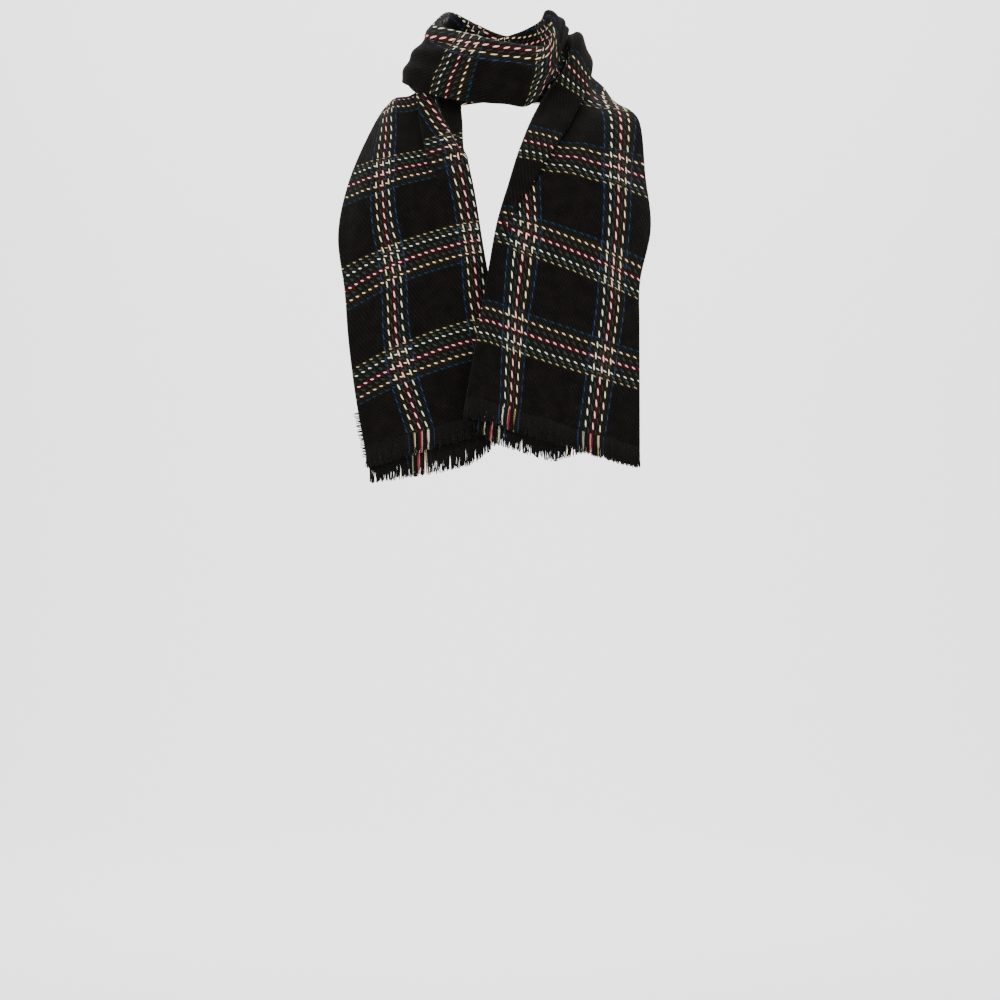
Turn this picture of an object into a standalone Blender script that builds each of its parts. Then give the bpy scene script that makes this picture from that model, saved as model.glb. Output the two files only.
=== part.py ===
"""Blanket scarf, worn: wound once round the neck, its ends crossing behind and hanging in front.

The cloth is one long rectangle, folded lengthwise so that a front layer, a layer behind it and a
short turned-in edge run all along it. Each row of STATIONS is one section across the folded
scarf. The rows follow it from the hem on the left, over the left shoulder, behind the neck,
round the front as the band, behind the neck again and down to the hem on the right.

Metres, +Z up. The origin is on the axis of the neck, at the height of the shoulders. -Y is the
wearer's front and -X is the left end as seen from the front.
"""
import math
import random

import bmesh
import bpy
from mathutils import Vector

MM = 0.001
NAME = "blanket_scarf"

# --- Cloth ---
CLOTH_THICKNESS = 1.8 * MM      # heavy twill, brushed
SEAM_GAP = 1.4 * MM             # clear space between two neighbouring pieces
TURNED_EDGE_DEPTH = 5.6 * MM    # from the front layer to the turned-in edge behind it
LEFT_HEM_DROP = 25 * MM         # the back layer hangs lower than the front one at each hem
RIGHT_HEM_DROP = 22 * MM
HEM_DROP_REACH = 330 * MM       # the drop has gone this far up from the hem
HEM_DROP_START = 14 * MM        # the slip begins this far inside the front layer's neck fold
HEM_DROP_SPAN = 75 * MM         # and is whole this much further round
RIGHT_DROP_FROM = 0.30          # across the right end from its outer fold, none of the drop
RIGHT_DROP_TO = 0.52            # and from here on the whole of it

# --- Fringe ---
FRINGE_LENGTH = 22 * MM
FRINGE_STRIP = 3 * MM           # height of the woven strip that the strands grow from
FRINGE_THICKNESS = 1.6 * MM
FRINGE_TIP = 0.45               # a strand's tip, as a part of its root
FRINGE_LEAN = 2.2 * MM          # how far a strand's tip may stray
HEM_STRANDS = 70                # on each hem, over both layers
SIDE_STRANDS = 16               # on the free long edge of the left end's back layer
SIDE_FRINGE_LENGTH = 9 * MM
SIDE_FRINGE_FROM = 8 * MM       # where the side strands start and stop, up from the left hem
SIDE_FRINGE_TO = 74 * MM

# --- Sections, in millimetres ---
# along: distance along the cloth from the left hem. outer, middle, neck: points of the front
# layer on its outer fold, its middle and the fold next to the neck. depth: from the front layer
# to the back layer. ridge: height of the soft lengthwise folds.
STATIONS = (
    # the left end, from its hem up to the shoulder
    (0, (-174, -88, -455), (-91, -112, -433), (-2, -104, -406), 10, 1.5),
    (95, (-187, -86, -382), (-96, -114, -339), (-4, -106, -314), 10, 1.0),
    (156, (-195, -82, -320), (-105, -118, -280), (-15, -108, -253), 10, 0.8),
    (217, (-200, -78, -258), (-113, -120, -219), (-25, -108, -195), 11, 0.6),
    (278, (-209, -66, -188), (-122, -119, -163), (-34, -104, -136), 12, 0.6),
    (339, (-198, -50, -123), (-128, -104, -104), (-46, -84, -75), 13, 0.8),
    (400, (-175, -30, -62), (-121, -78, -55), (-49, -60, -30), 13, 1.0),
    (461, (-153, 0, -18), (-117, -36, 0), (-54, -40, 18), 13, 1.2),
    # behind the neck, the inner turn, rising from the left shoulder to the right side
    (522, (-142, 34, -14), (-106, 12, 10), (-64, 4, 38), 13, 1.5),
    (583, (-112, 70, -12), (-84, 50, 18), (-56, 38, 56), 12, 2.0),
    (644, (-64, 88, 0), (-48, 72, 34), (-36, 60, 72), 9, 2.2),
    (705, (-4, 89, 8), (-2, 78, 46), (-4, 68, 84), 9, 2.2),
    (766, (50, 77, 22), (43, 69, 58), (31, 62, 95), 9, 2.0),
    (827, (78, 43, 46), (73, 38, 76), (53, 39, 106), 8, 1.6),
    (860, (82, 6, 72), (80, 4, 92), (56, 2, 111), 7.5, 1.4),
    (904, (68, -38, 42), (77, -32, 69), (65, -24, 97), 7.5, 1.0),
    # the band across the front
    (949, (41, -67, -17), (57, -67, 20), (59, -52, 59), 7.6, 1.2),
    (1010, (-1, -78, -23), (6, -88, 17), (7, -74, 57), 9, 1.8),
    (1071, (-76, -80, -15), (-62, -90, 25), (-39, -70, 68), 9, 1.8),
    (1132, (-124, -42, 7), (-113, -46, 45), (-80, -34, 86), 9, 1.8),
    # behind the neck, the outer turn, falling from the left side to the right shoulder
    (1193, (-126, 18, 18), (-112, 16, 56), (-78, 14, 108), 9, 2.0),
    (1254, (-109, 76, 12), (-97, 66, 56), (-68, 54, 117), 9, 2.2),
    (1315, (-58, 106, 11), (-52, 98, 54), (-40, 84, 108), 9, 2.2),
    (1376, (8, 112, 8), (6, 104, 48), (4, 92, 92), 9, 2.2),
    (1437, (72, 105, 3), (69, 96, 44), (60, 86, 88), 10, 2.0),
    (1498, (124, 68, -8), (112, 57, 34), (96, 47, 88), 12, 1.6),
    (1530, (143, 22, -12), (121, 8, 31), (100, 4, 82), 13, 1.4),
    # the right end, from the shoulder down to its hem
    (1565, (152, -10, -16), (119, -26, 8), (88, -31, 46), 13, 1.2),
    (1620, (174, -36, -38), (112, -70, -38), (48, -42, -10), 13, 1.0),
    (1681, (181, -56, -111), (106, -104, -94), (22, -82, -70), 13, 0.8),
    (1742, (187, -70, -178), (102, -122, -152), (5, -110, -127), 12, 0.6),
    (1803, (173, -80, -246), (85, -128, -211), (-9, -124, -178), 11, 0.6),
    (1864, (172, -84, -303), (80, -130, -271), (-19, -132, -236), 10, 0.8),
    (1925, (172, -86, -359), (74, -128, -331), (-29, -136, -296), 10, 1.0),
    (2020, (172, -88, -455), (66, -124, -426), (-45, -138, -391), 10, 1.5),
)
CLOTH_LENGTH = STATIONS[-1][0] * MM

# A laid pleat in the front layer, whose neck side lies over its outer side. place is its position
# from the outer fold (0) to the neck fold (1), and lap is how far the cloth doubles back.
PLEATS = (
    (250, 0.80, 0.0),
    (320, 0.75, 1.6),
    (350, 0.71, 3.8),
    (400, 0.66, 7.0),
    (461, 0.61, 9.5),
    (540, 0.52, 6.0),
    (620, 0.50, 0.0),
    (1480, 0.62, 0.0),
    (1565, 0.66, 9.0),
    (1640, 0.72, 9.0),
    (1700, 0.80, 6.0),
    (1760, 0.86, 0.0),
)
# The two long edges of the cloth. turned: width of the edge turned in behind the front layer.
# inset: how far inside the outer fold the free edge of the back layer stops.
EDGES = (
    (420, 26, 5),
    (500, 8, 12),
    (1540, 8, 12),
    (1640, 26, 5),
)
PLEAT_WIDTH = 14 * MM           # the stretch of cloth that rises from the lower lap to the upper
PLEAT_RISE = 8.4 * MM           # height of the upper lap over the lower one
PLEAT_TURNS = (0.25, 0.75)      # where the cloth turns back on itself, as parts of that stretch
PLEAT_TURN_SPAN = 0.34          # how much of the stretch each turn takes
PLEAT_FULL_LAP = 2.4 * MM       # a lap this long has the whole rise
PLEAT_LAID_LAP = 7 * MM         # a lap this long lies flat between its two turns
PLEAT_RUNOUT = 45 * MM          # the lower lap comes level again over this width
RIDGE_COUNT = 3.0               # lengthwise folds across the front layer
RIDGE_DRIFT = 9.0               # how many times their places swing along the whole scarf

# --- Stretches, each one node: name, from, to (millimetres along the cloth), rows, colour ---
STRETCHES = (
    ("left_end", 0, 500, 20, (0.030, 0.028, 0.024)),
    ("inner_turn", 500, 880, 15, (0.042, 0.030, 0.030)),
    ("neck_band", 880, 1150, 12, (0.036, 0.036, 0.028)),
    ("outer_turn", 1150, 1540, 15, (0.028, 0.034, 0.040)),
    ("right_end", 1540, 2020, 20, (0.030, 0.028, 0.024)),
)
BACK_STEPS = 5
NECK_FOLD_STEPS = 4
FRONT_STEPS = 3                 # on each side of the pleat
PLEAT_PLACES = (1.0, 0.89, 0.82, 0.75, 0.68, 0.6, 0.4, 0.32, 0.25, 0.18, 0.11, 0.0)
OUTER_FOLD_STEPS = 3
TURNED_EDGE_STEPS = 1


def hermite(rows, along, value):
    """Smooth value at a distance along the cloth, straight beyond the first and last rows."""
    places = [row[0] for row in rows]
    last = len(rows) - 1

    def slope(i):
        if i == 0:
            return (value(rows[1]) - value(rows[0])) / (places[1] - places[0])
        if i == last:
            return (value(rows[last]) - value(rows[last - 1])) / (places[last] - places[last - 1])
        before = places[i] - places[i - 1]
        after = places[i + 1] - places[i]
        slope_before = (value(rows[i]) - value(rows[i - 1])) / before
        slope_after = (value(rows[i + 1]) - value(rows[i])) / after
        return (slope_before * after + slope_after * before) / (before + after)

    if along <= places[0]:
        return value(rows[0]) + slope(0) * (along - places[0])
    if along >= places[last]:
        return value(rows[last]) + slope(last) * (along - places[last])
    i = next(k for k in range(last) if along <= places[k + 1])
    step = places[i + 1] - places[i]
    t = (along - places[i]) / step
    start = value(rows[i]) * (2 * t ** 3 - 3 * t ** 2 + 1) + slope(i) * step * (t ** 3 - 2 * t ** 2 + t)
    end = value(rows[i + 1]) * (3 * t ** 2 - 2 * t ** 3) + slope(i + 1) * step * (t ** 3 - t ** 2)
    return start + end


def linear(rows, along, column):
    """Value of a column, straight from row to row and level beyond the ends."""
    if along <= rows[0][0]:
        return rows[0][column]
    for before, after in zip(rows, rows[1:]):
        if along <= after[0]:
            t = (along - before[0]) / (after[0] - before[0])
            return before[column] * (1 - t) + after[column] * t
    return rows[-1][column]


def smoothstep(t):
    t = min(max(t, 0.0), 1.0)
    return t * t * (3 - 2 * t)


class Section:
    """The front layer's curve across the scarf at one distance along it, and its directions."""

    def __init__(self, along):
        self.outer, self.middle, self.neck = self.guides(along)
        self.ahead = [Vector(b) - Vector(a) for a, b in zip(self.guides(along - 1), self.guides(along + 1))]
        self.width = (self.middle - self.outer).length + (self.neck - self.middle).length

    @staticmethod
    def guides(along):
        return [hermite(STATIONS, along, lambda row, c=c: Vector(row[c])) * MM for c in (1, 2, 3)]

    @staticmethod
    def across(points, s):
        """Quadratic curve through the three guide points."""
        a, b, c = points
        return a * ((1 - s) * (1 - 2 * s)) + b * (4 * s * (1 - s)) + c * (s * (2 * s - 1))

    def point(self, x, depth):
        """The point x metres in from the outer fold and depth metres behind the front layer."""
        s = x / self.width
        on_curve = min(max(s, 0.0), 1.0)
        base = self.across((self.outer, self.middle, self.neck), on_curve)
        step = 0.02
        ends = (self.outer, self.middle, self.neck)
        sideways = (self.across(ends, on_curve + step) - self.across(ends, on_curve - step)).normalized()
        forward = self.across(self.ahead, on_curve).normalized()
        outward = sideways.cross(forward).normalized()
        return base + sideways * ((s - on_curve) * self.width) - outward * depth, outward, forward


def section_outline(along_mm):
    """(x, depth, back share) across the whole folded cloth, from the free edge of its back layer."""
    section = Section(along_mm)
    width = section.width
    depth = linear(STATIONS, along_mm, 4) * MM
    ridge = linear(STATIONS, along_mm, 5) * MM
    place = linear(PLEATS, along_mm, 1)
    lap = linear(PLEATS, along_mm, 2) * MM
    rise = PLEAT_RISE * smoothstep(lap / PLEAT_FULL_LAP)
    fold = depth / 2
    turn = TURNED_EDGE_DEPTH / 2
    turned_edge = linear(EDGES, along_mm, 1) * MM
    inset = linear(EDGES, along_mm, 2) * MM
    pleat_start = place * width - PLEAT_WIDTH / 2
    pleat_end = pleat_start + PLEAT_WIDTH
    swing = math.sin(along_mm / (CLOTH_LENGTH / MM) * RIDGE_DRIFT * 2 * math.pi)

    def front_depth(x):
        """Ridges over the front layer, and the lower lap beside a pleat."""
        waves = math.sin(2 * math.pi * (RIDGE_COUNT * x / width) + 1.2 * swing)
        free = math.sin(math.pi * min(max(x / width, 0.0), 1.0))
        sunk = rise * smoothstep(1 - (pleat_start - x) / PLEAT_RUNOUT) if x < pleat_start else 0.0
        return ridge * waves * free + sunk

    def pleat_level(q):
        """Depth of the pleat's S-shaped stretch: the lower lap at q = 0, the upper one at q = 1."""
        turns = [smoothstep((q - turn_at) / PLEAT_TURN_SPAN + 0.5) for turn_at in PLEAT_TURNS]
        laid = smoothstep(lap / PLEAT_LAID_LAP)
        return rise * (1 - laid * sum(turns) / len(turns) - (1 - laid) * smoothstep(q))

    outline = []
    back_end = width - fold

    def add(x, at_depth, round_fold):
        slip = smoothstep((round_fold + HEM_DROP_START) / HEM_DROP_SPAN)
        outline.append((x, at_depth, slip))

    for i in range(BACK_STEPS):
        t = i / BACK_STEPS
        x = inset + (back_end - inset) * t
        add(x, depth + ridge * math.sin(2.5 * math.pi * t) * (1 - t), math.pi * fold + back_end - x)
    for i in range(NECK_FOLD_STEPS):
        turned = math.pi * i / NECK_FOLD_STEPS
        add(back_end + fold * math.sin(turned), fold * (1 + math.cos(turned)), fold * (math.pi - turned))
    for i in range(FRONT_STEPS):
        x = back_end + (pleat_end - back_end) * i / FRONT_STEPS
        add(x, front_depth(x), x - back_end)
    for q in PLEAT_PLACES:
        x = pleat_start + PLEAT_WIDTH * q
        at_depth = front_depth(max(x, pleat_start + 0.01 * MM)) + pleat_level(q)
        add(x + lap * math.sin(2 * math.pi * q), at_depth, x - back_end)
    for i in range(1, FRONT_STEPS + 1):
        x = pleat_start + (turn - pleat_start) * i / FRONT_STEPS
        add(x, front_depth(x), x - back_end)
    for i in range(1, OUTER_FOLD_STEPS + 1):
        turned = math.pi * i / OUTER_FOLD_STEPS
        add(turn - turn * math.sin(turned), turn * (1 - math.cos(turned)), -back_end)
    for i in range(1, TURNED_EDGE_STEPS + 1):
        x = turn + (turned_edge - turn) * i / TURNED_EDGE_STEPS
        sunk = rise * smoothstep(1 - (pleat_start - x) / PLEAT_RUNOUT)
        add(x, TURNED_EDGE_DEPTH + sunk, -back_end)
    return outline


def hem_shift(along_mm):
    """How far the back layer has slipped towards the nearer hem, in millimetres, with its sign."""
    length = CLOTH_LENGTH / MM
    reach = HEM_DROP_REACH / MM
    if along_mm < length / 2:
        return -LEFT_HEM_DROP / MM * smoothstep(1 - along_mm / reach)
    return RIGHT_HEM_DROP / MM * smoothstep(1 - (length - along_mm) / reach)


def cloth_row(along_mm):
    """The middle of the cloth's thickness across one section: points with their directions."""
    shift = hem_shift(along_mm)
    width = Section(along_mm).width
    row = []
    for x, depth, slip in section_outline(along_mm):
        if shift > 0:
            slip *= smoothstep((x / width - RIGHT_DROP_FROM) / (RIGHT_DROP_TO - RIGHT_DROP_FROM))
        row.append(Section(along_mm + shift * slip).point(x, depth))
    return row


def cloth_material(name, colour):
    material = bpy.data.materials.new(name)
    material.use_nodes = True
    shader = material.node_tree.nodes["Principled BSDF"]
    shader.inputs["Base Color"].default_value = (*colour, 1.0)
    shader.inputs["Roughness"].default_value = 0.95
    shader.inputs["Metallic"].default_value = 0.0
    material.diffuse_color = (*colour, 1.0)
    return material


def add_object(name, bm, material, collection):
    mesh = bpy.data.meshes.new(name)
    bm.to_mesh(mesh)
    bm.free()
    mesh.materials.append(material)
    mesh.shade_smooth()
    made = bpy.data.objects.new(name, mesh)
    collection.objects.link(made)
    return made


def add_stretch(name, start_mm, end_mm, rows, colour, collection):
    """One stretch of the folded cloth: an open lofted sheet, thickened by Solidify."""
    gap = SEAM_GAP / 2 / MM
    first = start_mm + (gap if start_mm > 0 else 0.0)
    final = end_mm - (gap if end_mm < CLOTH_LENGTH / MM else 0.0)
    bm = bmesh.new()
    grid = []
    for i in range(rows + 1):
        along = first + (final - first) * i / rows
        grid.append([bm.verts.new(point) for point, _, _ in cloth_row(along)])
    for lower, upper in zip(grid, grid[1:]):
        for k in range(len(lower) - 1):
            bm.faces.new((lower[k], upper[k], upper[k + 1], lower[k + 1]))
    bmesh.ops.recalc_face_normals(bm, faces=bm.faces)
    made = add_object(name, bm, cloth_material(name + "_twill", colour), collection)
    wall = made.modifiers.new("cloth_wall", "SOLIDIFY")
    wall.thickness = CLOTH_THICKNESS
    wall.offset = 0.0
    wall.use_rim = True
    return made


def spaced(row, count):
    """count + 1 evenly spaced places along a row of points, each with its directions."""
    lengths = [0.0]
    for before, after in zip(row, row[1:]):
        lengths.append(lengths[-1] + (after[0] - before[0]).length)
    places = []
    for i in range(count + 1):
        wanted = lengths[-1] * i / count
        k = next((j for j in range(len(lengths) - 1) if wanted <= lengths[j + 1]), len(lengths) - 2)
        t = (wanted - lengths[k]) / (lengths[k + 1] - lengths[k])
        point, ahead = (row[k][c].lerp(row[k + 1][c], t) for c in (0, 2))
        along_row = (row[k + 1][0] - row[k][0]).normalized()
        places.append((point, ahead.normalized(), along_row))
    return places


def add_fringe(name, row, strands, length, seed, collection):
    """A narrow strip beside a cut edge, and the strands that grow from every other cell of it."""
    rng = random.Random(seed)
    places = spaced(row, 2 * strands + 1)
    bm = bmesh.new()
    rings = []
    for point, away, along_row in places:
        half = away.cross(along_row).normalized() * (FRINGE_THICKNESS / 2)
        near = point + away * SEAM_GAP
        far = near + away * FRINGE_STRIP
        rings.append([bm.verts.new(p) for p in (near + half, near - half, far - half, far + half)])
    roots = []
    for cell, (before, after) in enumerate(zip(rings, rings[1:])):
        for k in range(4):
            face = bm.faces.new((before[k], after[k], after[(k + 1) % 4], before[(k + 1) % 4]))
            if k == 2 and cell % 2 == 1:
                roots.append((face, places[cell]))
    bm.faces.new(rings[0])
    bm.faces.new(reversed(rings[-1]))
    bmesh.ops.recalc_face_normals(bm, faces=bm.faces)
    faces = [face for face, _ in roots]
    tips = bmesh.ops.extrude_discrete_faces(bm, faces=faces)["faces"]
    for tip, (_, (_, away, along_row)) in zip(tips, roots):
        centre = tip.calc_center_median()
        sideways = along_row * rng.uniform(-FRINGE_LEAN, FRINGE_LEAN) * 0.5
        reach = away * length * rng.uniform(0.88, 1.0) + sideways
        for vert in tip.verts:
            vert.co = centre + (vert.co - centre) * FRINGE_TIP + reach
    return add_object(name, bm, cloth_material(name + "_yarn", (0.045, 0.040, 0.034)), collection)


def hem_row(along_mm, away_sign):
    """The cut edge across a hem, each point with the direction away from the cloth."""
    return [(point, outward, ahead * away_sign) for point, outward, ahead in cloth_row(along_mm)]


def side_row(start_mm, end_mm, steps):
    """The free long edge of the back layer, with the direction away from the cloth."""
    row = []
    for i in range(steps + 1):
        along = start_mm + (end_mm - start_mm) * i / steps
        edge, beside = cloth_row(along)[:2]
        row.append((edge[0], edge[1], (edge[0] - beside[0]).normalized()))
    return row


def clear_scene():
    for old in list(bpy.data.objects):
        bpy.data.objects.remove(old, do_unlink=True)


def build():
    clear_scene()
    collection = bpy.data.collections.new(NAME)
    bpy.context.scene.collection.children.link(collection)
    for name, start_mm, end_mm, rows, colour in STRETCHES:
        add_stretch(name, start_mm, end_mm, rows, colour, collection)
    add_fringe("left_fringe", hem_row(0, -1), HEM_STRANDS, FRINGE_LENGTH, 11, collection)
    add_fringe("right_fringe", hem_row(CLOTH_LENGTH / MM, 1), HEM_STRANDS, FRINGE_LENGTH, 12, collection)
    side = side_row(SIDE_FRINGE_FROM / MM, SIDE_FRINGE_TO / MM, 6)
    add_fringe("side_fringe", side, SIDE_STRANDS, SIDE_FRINGE_LENGTH, 13, collection)


build()
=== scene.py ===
"""Looks of the blanket scarf: one folded sheet of checked twill, and its fringes of loose yarn.

The sheet follows the CAD solids' own sections, sampled finer and with small creases added. Its UV
map holds metres on the flat cloth: U runs across it from the red line of a stripe group, and V
runs along it from the left hem, so the whole check is woven from those two distances.
"""
import math
import random

import bpy
import numpy as np
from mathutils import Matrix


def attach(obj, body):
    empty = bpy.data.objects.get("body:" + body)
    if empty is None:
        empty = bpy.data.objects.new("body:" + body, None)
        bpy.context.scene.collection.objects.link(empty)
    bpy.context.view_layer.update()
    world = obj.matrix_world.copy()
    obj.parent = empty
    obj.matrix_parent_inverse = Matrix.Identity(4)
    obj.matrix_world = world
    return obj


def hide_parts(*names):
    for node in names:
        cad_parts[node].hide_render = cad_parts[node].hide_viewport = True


MM = 0.001

# --- The folded cloth, as in the CAD source: millimetres ---
# along, outer point, middle point, neck point, depth from front layer to back layer, ridge height
STATIONS = (
    (0, (-174, -88, -455), (-91, -112, -433), (-2, -104, -406), 10, 1.5),
    (95, (-187, -86, -382), (-96, -114, -339), (-4, -106, -314), 10, 1.0),
    (156, (-195, -82, -320), (-105, -118, -280), (-15, -108, -253), 10, 0.8),
    (217, (-200, -78, -258), (-113, -120, -219), (-25, -108, -195), 11, 0.6),
    (278, (-209, -66, -188), (-122, -119, -163), (-34, -104, -136), 12, 0.6),
    (339, (-198, -50, -123), (-128, -104, -104), (-46, -84, -75), 13, 0.8),
    (400, (-175, -30, -62), (-121, -78, -55), (-49, -60, -30), 13, 1.0),
    (461, (-153, 0, -18), (-117, -36, 0), (-54, -40, 18), 13, 1.2),
    (522, (-142, 34, -14), (-106, 12, 10), (-64, 4, 38), 13, 1.5),
    (583, (-112, 70, -12), (-84, 50, 18), (-56, 38, 56), 12, 2.0),
    (644, (-64, 88, 0), (-48, 72, 34), (-36, 60, 72), 9, 2.2),
    (705, (-4, 89, 8), (-2, 78, 46), (-4, 68, 84), 9, 2.2),
    (766, (50, 77, 22), (43, 69, 58), (31, 62, 95), 9, 2.0),
    (827, (78, 43, 46), (73, 38, 76), (53, 39, 106), 8, 1.6),
    (860, (82, 6, 72), (80, 4, 92), (56, 2, 111), 7.5, 1.4),
    (904, (68, -38, 42), (77, -32, 69), (65, -24, 97), 7.5, 1.0),
    (949, (41, -67, -17), (57, -67, 20), (59, -52, 59), 7.6, 1.2),
    (1010, (-1, -78, -23), (6, -88, 17), (7, -74, 57), 9, 1.8),
    (1071, (-76, -80, -15), (-62, -90, 25), (-39, -70, 68), 9, 1.8),
    (1132, (-124, -42, 7), (-113, -46, 45), (-80, -34, 86), 9, 1.8),
    (1193, (-126, 18, 18), (-112, 16, 56), (-78, 14, 108), 9, 2.0),
    (1254, (-109, 76, 12), (-97, 66, 56), (-68, 54, 117), 9, 2.2),
    (1315, (-58, 106, 11), (-52, 98, 54), (-40, 84, 108), 9, 2.2),
    (1376, (8, 112, 8), (6, 104, 48), (4, 92, 92), 9, 2.2),
    (1437, (72, 105, 3), (69, 96, 44), (60, 86, 88), 10, 2.0),
    (1498, (124, 68, -8), (112, 57, 34), (96, 47, 88), 12, 1.6),
    (1530, (143, 22, -12), (121, 8, 31), (100, 4, 82), 13, 1.4),
    (1565, (152, -10, -16), (119, -26, 8), (88, -31, 46), 13, 1.2),
    (1620, (174, -36, -38), (112, -70, -38), (48, -42, -10), 13, 1.0),
    (1681, (181, -56, -111), (106, -104, -94), (22, -82, -70), 13, 0.8),
    (1742, (187, -70, -178), (102, -122, -152), (5, -110, -127), 12, 0.6),
    (1803, (173, -80, -246), (85, -128, -211), (-9, -124, -178), 11, 0.6),
    (1864, (172, -84, -303), (80, -130, -271), (-19, -132, -236), 10, 0.8),
    (1925, (172, -86, -359), (74, -128, -331), (-29, -136, -296), 10, 1.0),
    (2020, (172, -88, -455), (66, -124, -426), (-45, -138, -391), 10, 1.5),
)
LENGTH = 2020.0
# along, place of the laid pleat from outer fold (0) to neck fold (1), how far the cloth doubles back
PLEATS = (
    (250, 0.80, 0.0),
    (320, 0.75, 1.6),
    (350, 0.71, 3.8),
    (400, 0.66, 7.0),
    (461, 0.61, 9.5),
    (540, 0.52, 6.0),
    (620, 0.50, 0.0),
    (1045, 0.56, 0.0),
    (1071, 0.78, 0.3),
    (1110, 0.78, 1.0),
    (1180, 0.78, 1.0),
    (1260, 0.70, 0.0),
    (1465, 0.61, 0.0),
    (1500, 0.63, 4.5),
    (1565, 0.66, 9.0),
    (1640, 0.73, 9.0),
    (1700, 0.83, 7.0),
    (1755, 0.90, 4.5),
    (1800, 0.93, 0.0),
    (1925, 0.70, 0.0),
)
# along, width of the turned-in edge, how far inside the outer fold the back layer's free edge stops
EDGES = (
    (110, 26, -3),
    (160, 26, 5),
    (420, 26, 5),
    (500, 8, 12),
    (1540, 8, 12),
    (1640, 26, 5),
)
TURNED_EDGE_DEPTH = 5.6
LEFT_HEM_DROP = 25.0
RIGHT_HEM_DROP = 22.0
HEM_DROP_REACH = 330.0
HEM_DROP_START = 14.0
HEM_DROP_SPAN = 75.0
RIGHT_DROP_FROM = 0.30
RIGHT_DROP_TO = 0.52
PLEAT_WIDTH = 14.0
PLEAT_RISE = 8.4
PLEAT_TURNS = (0.25, 0.75)
PLEAT_TURN_SPAN = 0.34
PLEAT_FULL_LAP = 2.4
PLEAT_LAID_LAP = 7.0
PLEAT_RUNOUT = 45.0
RIDGE_COUNT = 3.0
RIDGE_DRIFT = 9.0
RIDGE_SWING = 1.2          # how far the ridges wander sideways, in radians
BACK_RIDGES = 2.5          # half waves of the back layer's ridges
BACK_WAVE = 0.8            # the back layer's own finer wave: height, turns across, length along
BACK_WAVE_TURNS = 9
BACK_WAVE_LENGTH = 70

# --- The sheet's own sampling and thickness ---
ROWS = 350
BACK_STEPS = 26
NECK_FOLD_STEPS = 8
NECK_SIDE_STEPS = 14
OUTER_SIDE_STEPS = 24
PLEAT_STEPS = 20
OUTER_FOLD_STEPS = 8
TURNED_STEPS = 6
CLOTH_THICKNESS = 1.6
GUIDE_STEP = 0.02          # share across over which the cloth's direction is measured

# --- The check, in millimetres on the flat cloth ---
# along, U at the outer fold, U at the neck fold, how far V runs ahead of the distance along, how
# much more cloth the pleat hides, how far U at the pleat is from an even spacing, and how far V
# jumps across the pleat. U is 0 on the red line of one stripe group.
CHECK_PINS = (
    (0, -75, 96, 0, 0, 0, 0),
    (95, -61, 123, 0, 0, 0, 0),
    (217, -68, 118, 0, 0, 0, 0),
    (278, -65, 117, 0, 0, 0, 1),
    (339, -58, 117, -2, 2, 0, 10),
    (400, -41, 138, -2, 7, 1, 12),
    (461, -23, 150, 0, 14, 9, 10),
    (540, -14, 130, 0, 10, 0, 0),
    (583, -10, 118, 0, 4, 0, 0),
    (705, 5, 90, 4, 0, 0, 0),
    (827, 24, 78, 10, 0, 0, 0),
    (860, 27, 80, 8, 0, 0, 0),
    (904, 28, 88, 4, 0, 0, 0),
    (949, 31, 108, 0, 0, 3, 0),
    (1010, 36, 113, 0, 0, 5, 0),
    (1045, 36, 114, -1, 0, 5, 0),
    (1071, 36, 115, 3, 0, 2.5, 0),
    (1098, 36, 116, 10, 9, 2, 0),
    (1132, 35, 119, 8, 20, 1, 0),
    (1180, 30, 116, 5, 20, 1, 0),
    (1254, 20, 110, 0, 0, 0, 0),
    (1376, 0, 92, 0, 0, 0, 0),
    (1437, -5, 94, -11, 0, 0, 0),
    (1498, -8, 148, -24, 76, -14, 0),
    (1530, -9, 168, -26, 98, -20, -2),
    (1565, -10, 174, -22, 102, -26, -6),
    (1620, -21, 176, -9, 70, -19, -7),
    (1681, -35, 172, -1, 46, -12, -8),
    (1742, -46, 156, 1, 20, -6, -10),
    (1803, -37, 141, 1, 0, 0, -6),
    (1925, -47, 152, 0, 0, -8, 0),
    (2020, -64, 173, 0, 0, -15, 0),
)
WARP_PERIOD = 109.0        # between two lengthwise stripe groups
WEFT_PERIOD = 122.0        # between two crosswise stripe groups
WEFT_START = 95.0          # first crosswise red line, from the left hem
FLOAT_ACROSS = 8.9         # one repeat of the twill's floats, across and along the cloth
FLOAT_ALONG = 14.4
# offset from the group's red line, half width and hex of the floats, half width and hex of the
# cloth under them
WARP_LINES = (
    (-16.9, 1.1, "#253a5a", 0.8, "#131f33"),
    (-9.4, 1.7, "#fbe6c0", 1.9, "#2c200e"),
    (0.0, 2.0, "#ffc4bc", 2.3, "#480d18"),
    (9.4, 1.7, "#f0e8d0", 1.9, "#18221a"),
    (16.9, 1.1, "#263c5e", 0.8, "#142137"),
)
WEFT_LINES = (
    (-24.4, 1.3, "#203849", 1.3, "#0f1d28"),
    (-15.0, 1.8, "#f4dfb6", 2.6, "#332510"),
    (0.0, 2.0, "#ffc6be", 3.0, "#480e1a"),
    (15.0, 1.8, "#f0e8d2", 2.8, "#16221b"),
    (24.6, 1.5, "#aaa07a", 2.2, "#221f10"),
)
# duller floats that fill a group between its lines: offset, half width, hex
WARP_FILLING = (
    (-4.7, 2.3, "#30281e"),
    (4.7, 2.3, "#262e28"),
)
WEFT_FILLING = (
    (-7.6, 3.6, "#2c2c25"),
    (7.6, 3.6, "#29312b"),
    (19.8, 2.7, "#373f37"),
)
BETWEEN_LINES = "#191f1b"
BETWEEN_STRENGTH = 0.6
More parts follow.
